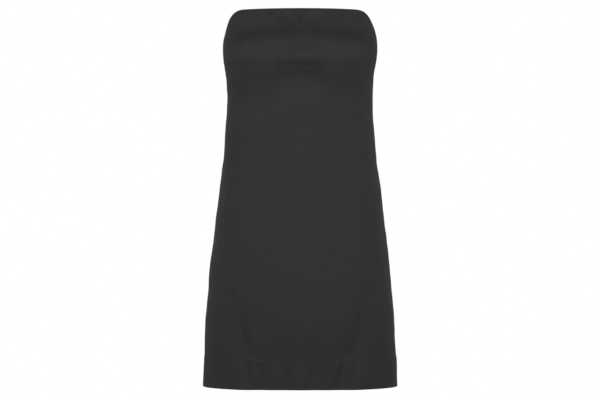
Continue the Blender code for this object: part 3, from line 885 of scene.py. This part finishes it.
def ringAcross(mesh, centre, outer, inner, halfWidth, steps=20):
    # a flat-sided ring round a bar that runs along X
    loops = []
    for radius, x in ((outer, -halfWidth), (outer, halfWidth), (inner, halfWidth), (inner, -halfWidth)):
        loops.append([
            mesh.verts.new((
                x, centre[0] + radius * math.cos(2 * math.pi * i / steps), centre[1] + radius * math.sin(2 * math.pi * i / steps)
            ))
            for i in range(steps)
        ])
    for k in range(4):
        first, second = loops[k], loops[(k + 1) % 4]
        for i in range(steps):
            mesh.faces.new((first[i], first[(i + 1) % steps], second[(i + 1) % steps], second[i]))


def metalPiece(name, mesh, bevel, body, node):
    bmesh.ops.recalc_face_normals(mesh, faces=mesh.faces)
    data = bpy.data.meshes.new(name)
    mesh.to_mesh(data)
    mesh.free()
    made = addObject(name, data, satinEnamel)
    edge = made.modifiers.new("edges", "BEVEL")
    edge.width = bevel
    edge.segments = 3
    edge.limit_method = "ANGLE"
    edge.angle_limit = math.radians(40.0)
    seen = made.evaluated_get(bpy.context.evaluated_depsgraph_get())
    finished = bpy.data.meshes.new_from_object(seen)
    made.modifiers.clear()
    made.data = finished
    bpy.data.meshes.remove(data)
    markEdges(finished)
    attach(made, body)
    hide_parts(node)
    return made


def markEdges(mesh):
    # bare metal shows where the surface turns sharply
    work = bmesh.new()
    work.from_mesh(mesh)
    sharp = [min(1.0, max((e.calc_face_angle(0.0) for e in v.link_edges), default=0.0) / 0.5) for v in work.verts]
    work.free()
    worn = mesh.attributes.new("edgeWear", "FLOAT", "POINT")
    worn.data.foreach_set("value", sharp)


def zipSlider():
    mesh = bmesh.new()
    bodyIn = sliderLow.y
    bodyOut = bodyIn + metal["bodyDepth"]
    top = sliderHigh.z
    middle = top - metal["bodyHeight"] / 2
    wing = metal["bodyDepth"] * 0.32
    shield = [
        (-0.50, 0.50), (-0.50, 0.05), (-0.34, -0.42), (-0.26, -0.50), (0.26, -0.50), (0.34, -0.42), (0.50, 0.05), (0.50, 0.50),
        (0.22, 0.50), (0.0, 0.42), (-0.22, 0.50),
    ]
    outline = [(x * metal["bodyWidth"], middle + z * metal["bodyHeight"]) for x, z in shield]
    prism(mesh, outline, bodyIn, bodyIn + wing)
    prism(mesh, outline, bodyOut - wing, bodyOut)
    post = roundedBox(0.0009, 0.0030, 0.0005, (0.0, top - 0.0040))
    prism(mesh, post, bodyIn + wing * 0.5, bodyOut - wing * 0.5)
    plateOut = barDepth - metal["barStandOff"]
    plateIn = plateOut - metal["plateDepth"]
    neck = roundedBox(metal["neckWidth"] / 2, 0.0018, 0.0003, (0.0, top - 0.0026))
    prism(mesh, neck, bodyOut - wing * 0.5, plateIn + metal["plateDepth"] * 0.5)
    prism(mesh, roundedBox(metal["plateWidth"] / 2, metal["plateHeight"] / 2, 0.0016, (0.0, barHeight)), plateIn, plateOut)
    for side in (-1, 1):
        middleX = side * metal["cheekApart"]
        outline = [(plateIn + metal["plateDepth"] * 0.5, barHeight - metal["cheekRadius"])]
        for step in range(13):
            turn = -math.pi / 2 + math.pi * step / 12
            outline.append((barDepth + metal["cheekRadius"] * math.cos(turn), barHeight + metal["cheekRadius"] * math.sin(turn)))
        outline.append((plateIn + metal["plateDepth"] * 0.5, barHeight + metal["cheekRadius"]))
        prism(mesh, outline, middleX - metal["cheekWidth"] / 2, middleX + metal["cheekWidth"] / 2, "X")
    rod = [
        (barDepth + metal["barRadius"] * math.cos(math.pi * i / 8), barHeight + metal["barRadius"] * math.sin(math.pi * i / 8))
        for i in range(16)
    ]
    prism(mesh, rod, -metal["cheekApart"], metal["cheekApart"], "X")
    return metalPiece("zipSlider", mesh, metal["bevel"] * 0.6, "dress", "zip_slider")


def tabSide():
    points = [(0.0010, metal["tabShankWidth"] / 2), (metal["tabShankLength"], metal["tabShankWidth"] / 2)]
    low = metal["tabLength"] - metal["tabWidth"] / 2
    for step in range(1, 13):
        share = step / 12
        half = metal["tabShankWidth"] / 2 + (metal["tabWidth"] - metal["tabShankWidth"]) / 2 * float(smoothStep(share))
        points.append((metal["tabShankLength"] + (low - metal["tabShankLength"]) * share, half))
    for step in range(1, 12):
        turn = math.pi / 2 * step / 12
        points.append((low + metal["tabWidth"] / 2 * math.sin(turn), metal["tabWidth"] / 2 * math.cos(turn)))
    return points


def zipPullTab():
    mesh = bmesh.new()
    side = tabSide()
    outline = [(x, barHeight - down) for down, x in side] + [(0.0, barHeight - metal["tabLength"])]
    outline += [(-x, barHeight - down) for down, x in reversed(side)]
    half = metal["tabThickness"] / 2
    prism(mesh, outline, barDepth - half, barDepth + half)
    ringAcross(mesh, (barDepth, barHeight), metal["eyeRadius"], metal["eyeBore"], 0.0011)
    return metalPiece("zipPullTab", mesh, metal["bevel"], "pull_tab", "zip_pull_tab")


slider = zipSlider()
pullTab = zipPullTab()
print("slider and tab made")


# Floor, light and camera

studio = {
    "cameraAt": (0.0, -4.8, -0.3195),
    "lens": 144.0,
    "floorHeight": -1.25,
    "floorRadius": 5.0,
    "worldLight": 0.70,
    "lampRound": (-46.0, 46.0, 150.0, -150.0),    # degrees round the dress from the front
    "lampHalfAngle": 4.6,
    "lampDistance": 6.0,
    "lampRise": 46.5,
    "lampAim": -0.26,
    "lampBlend": 0.45,
    "lampSize": 0.22,
    "lampPower": 458.0,
}


def softLamp(name, roundAngle):
    turn, rise = math.radians(roundAngle), math.radians(studio["lampRise"])
    light = bpy.data.lights.new(name, "SPOT")
    light.energy = studio["lampPower"]
    light.shadow_soft_size = studio["lampSize"]
    light.spot_size = math.radians(2 * studio["lampHalfAngle"])
    light.spot_blend = studio["lampBlend"]
    lamp = bpy.data.objects.new(name, light)
    bpy.context.scene.collection.objects.link(lamp)
    aim = Vector((0.0, 0.0, studio["lampAim"]))
    away = Vector((math.sin(turn) * math.cos(rise), -math.cos(turn) * math.cos(rise), math.sin(rise)))
    lamp.location = aim + studio["lampDistance"] * away
    lamp.rotation_euler = (-away).to_track_quat("-Z", "Y").to_euler()
    return lamp


def paleFloor():
    mesh = bmesh.new()
    bmesh.ops.create_circle(mesh, cap_ends=True, segments=96, radius=studio["floorRadius"])
    bmesh.ops.translate(mesh, verts=mesh.verts, vec=(0.0, 0.0, studio["floorHeight"]))
    data = bpy.data.meshes.new("floor")
    mesh.to_mesh(data)
    mesh.free()
    material, tree, shader = newFinish("paleFloor", 0.9)
    coordinates = tree.nodes.new("ShaderNodeTexCoord")
    clouds = placed(tree, mottle, Place=coordinates.outputs["Object"], Size=1.5, Fine=30.0, Strength=0.2)
    tree.links.new(blendOf(tree, clouds.outputs[0], (0.86, 0.86, 0.86), (0.90, 0.90, 0.90)), shader.inputs["Base Color"])
    # the floor fades out into the white round it
    distance = tree.nodes.new("ShaderNodeVectorMath")
    distance.operation = "LENGTH"
    tree.links.new(coordinates.outputs["Object"], distance.inputs[0])
    fade = tree.nodes.new("ShaderNodeMapRange")
    fade.interpolation_type = "SMOOTHSTEP"
    for key, value in (("From Min", 1.3), ("From Max", 4.8), ("To Min", 1.0), ("To Max", 0.0)):
        fade.inputs[key].default_value = value
    tree.links.new(distance.outputs["Value"], fade.inputs["Value"])
    tree.links.new(fade.outputs[0], shader.inputs["Alpha"])
    floor = addObject("floor", data, material)
    return floor


def paleWorld():
    world = bpy.data.worlds.new("studio")
    bpy.context.scene.world = world
    world.use_nodes = True
    tree = world.node_tree
    background = tree.nodes["Background"]
    background.inputs["Color"].default_value = (1.0, 1.0, 1.0, 1.0)
    seen = tree.nodes.new("ShaderNodeLightPath").outputs["Is Camera Ray"]
    strength = math2(tree, "MULTIPLY_ADD", seen, 1.0 - studio["worldLight"], studio["worldLight"])
    tree.links.new(strength, background.inputs["Strength"])


paleFloor()
paleWorld()
for count, roundAngle in enumerate(studio["lampRound"]):
    softLamp(f"softLamp{count + 1}", roundAngle)
camera = bpy.data.objects.new("camera", bpy.data.cameras.new("camera"))
bpy.context.scene.collection.objects.link(camera)
camera.location = studio["cameraAt"]
camera.rotation_euler = (math.radians(90.0), 0.0, 0.0)
camera.data.lens = studio["lens"]
camera.data.sensor_width = 36.0
camera.data.clip_end = 60.0
bpy.context.scene.camera = camera
bpy.context.scene.view_settings.view_transform = "Standard"
print("studio made")
